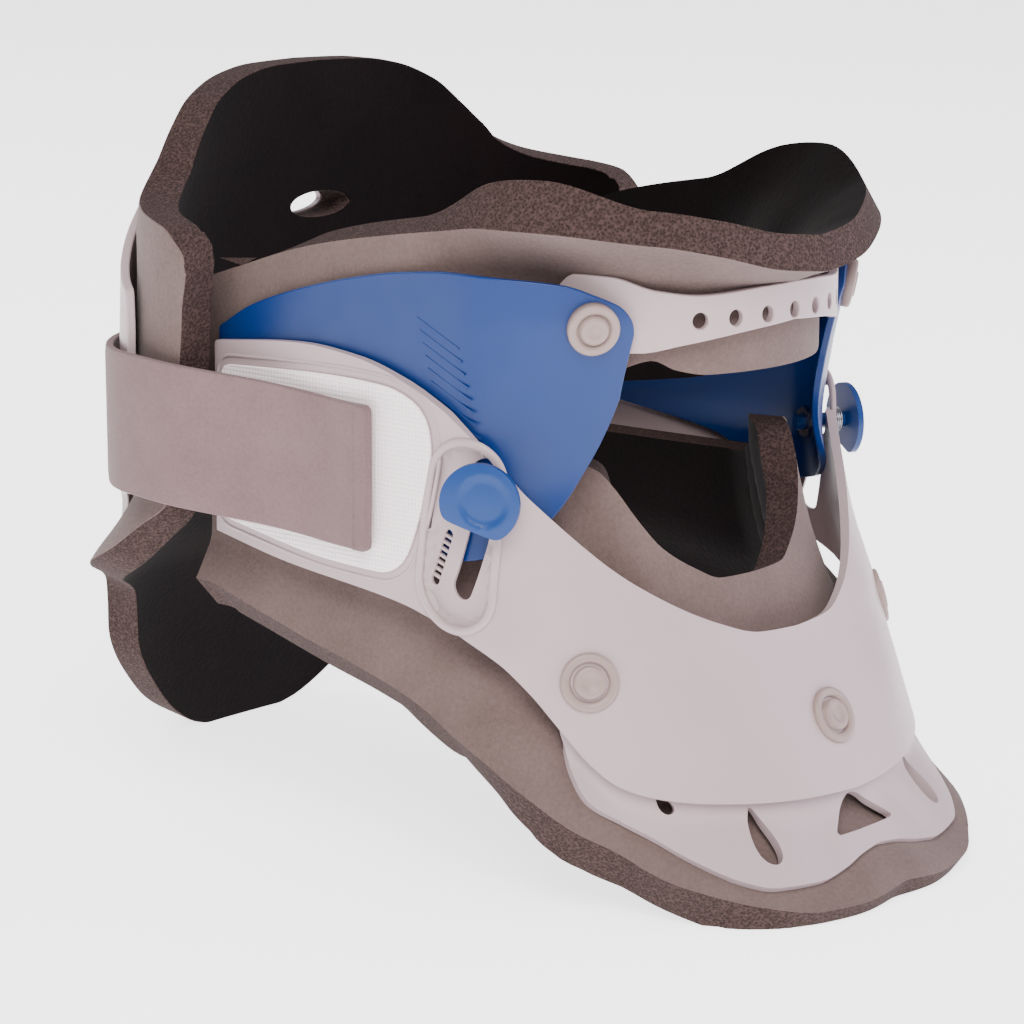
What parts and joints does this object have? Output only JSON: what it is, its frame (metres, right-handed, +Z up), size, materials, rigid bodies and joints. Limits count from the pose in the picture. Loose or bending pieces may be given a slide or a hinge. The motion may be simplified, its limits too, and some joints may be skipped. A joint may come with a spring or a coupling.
{
  "type": "cervical collar",
  "caption": "Rigid neck collar: a plastic front section with hinged, button-set height plates and a chin band over foam pads, and a foam-lined back section closed by hook-and-loop straps.",
  "frame": {"origin": "under the middle of the collar's box, on the surface it stands on", "axes": "+Z up as worn, -Y towards the chin, -X the wearer's right"},
  "size_m": [0.182, 0.2356, 0.1886],
  "materials": {
    "shell": "satin warm light grey moulding",
    "plate": "satin blue moulding",
    "foam": "grey looped fabric on closed-cell foam, dark speckled cut edge",
    "lining": "dark brown brushed velour on foam",
    "strap": "mauve grey brushed loop webbing",
    "hook": "near-white hook fabric with a fine dot weave",
    "rivet": "light grey moulded rivet",
    "spring": "plain steel"
  },
  "bodies": {
    "front_section": {"front_shell": "shell", "chest_flap": "shell", "chest_pad": "foam", "flap_rivet_centre": "rivet", "flap_rivet_right": "rivet", "flap_rivet_left": "rivet", "flap_rivet_cap_centre": "rivet", "flap_rivet_cap_right": "rivet", "flap_rivet_cap_left": "rivet", "hook_patch_right": "hook", "hook_patch_left": "hook", "hinge_pin_right": "rivet", "hinge_pin_left": "rivet"},
    "height_adjuster": {"height_plate_right": "plate", "height_plate_left": "plate", "chin_rivet_right": "rivet", "chin_rivet_left": "rivet", "chin_rivet_cap_right": "rivet", "chin_rivet_cap_left": "rivet", "jaw_pad_right": "foam", "jaw_pad_left": "foam"},
    "chin_support": {"chin_band": "shell", "chin_pad": "foam"},
    "back_section": {"back_shell": "shell", "back_pad": "lining", "strap_band_right": "strap", "strap_band_left": "strap", "strap_rivet_right_upper": "rivet", "strap_rivet_right_lower": "rivet", "strap_rivet_left_upper": "rivet", "strap_rivet_left_lower": "rivet"},
    "push_button_right": {"button_right": "plate", "button_spring_right": "spring", "button_clip_right": "spring"},
    "strap_right": {"strap_tab_right": "strap", "strap_hook_right": "hook"},
    "push_button_left": {"button_left": "plate", "button_spring_left": "spring", "button_clip_left": "spring"},
    "strap_left": {"strap_tab_left": "strap", "strap_hook_left": "hook"}
  },
  "joints": [
    {"name": "height_adjust", "type": "hinge", "parent": "front_section", "child": "height_adjuster", "pos_m": [0, 0.03988, 0.10575], "axis": [1, 0, 0], "range_deg": [-1.5, 9]},
    {"name": "chin_tilt", "type": "hinge", "parent": "height_adjuster", "child": "chin_support", "pos_m": [0, -0.06021, 0.13956], "axis": [1, 0, 0], "range_deg": [-8, 8]},
    {"name": "back_slide", "type": "slide", "parent": "front_section", "child": "back_section", "axis": [0, 0.9996, -0.0279], "range_m": [0, 0.025]},
    {"name": "button_push_right", "type": "slide", "parent": "height_adjuster", "child": "push_button_right", "axis": [0.8841, 0.4671, -0.0131], "range_m": [0, 0.0015], "stiffness_N_per_m": 400},
    {"name": "button_push_left", "type": "slide", "parent": "height_adjuster", "child": "push_button_left", "axis": [-0.8841, 0.4671, -0.0131], "range_m": [0, 0.0015], "stiffness_N_per_m": 400},
    {"name": "strap_peel_right", "type": "hinge", "parent": "back_section", "child": "strap_right", "pos_m": [-0.0894, 0.06304, 0.10411], "axis": [0, -0.0279, -0.9996], "range_deg": [0, 110]},
    {"name": "strap_peel_left", "type": "hinge", "parent": "back_section", "child": "strap_left", "pos_m": [0.0894, 0.06304, 0.10411], "axis": [0, 0.0279, 0.9996], "range_deg": [0, 110]}
  ]
}
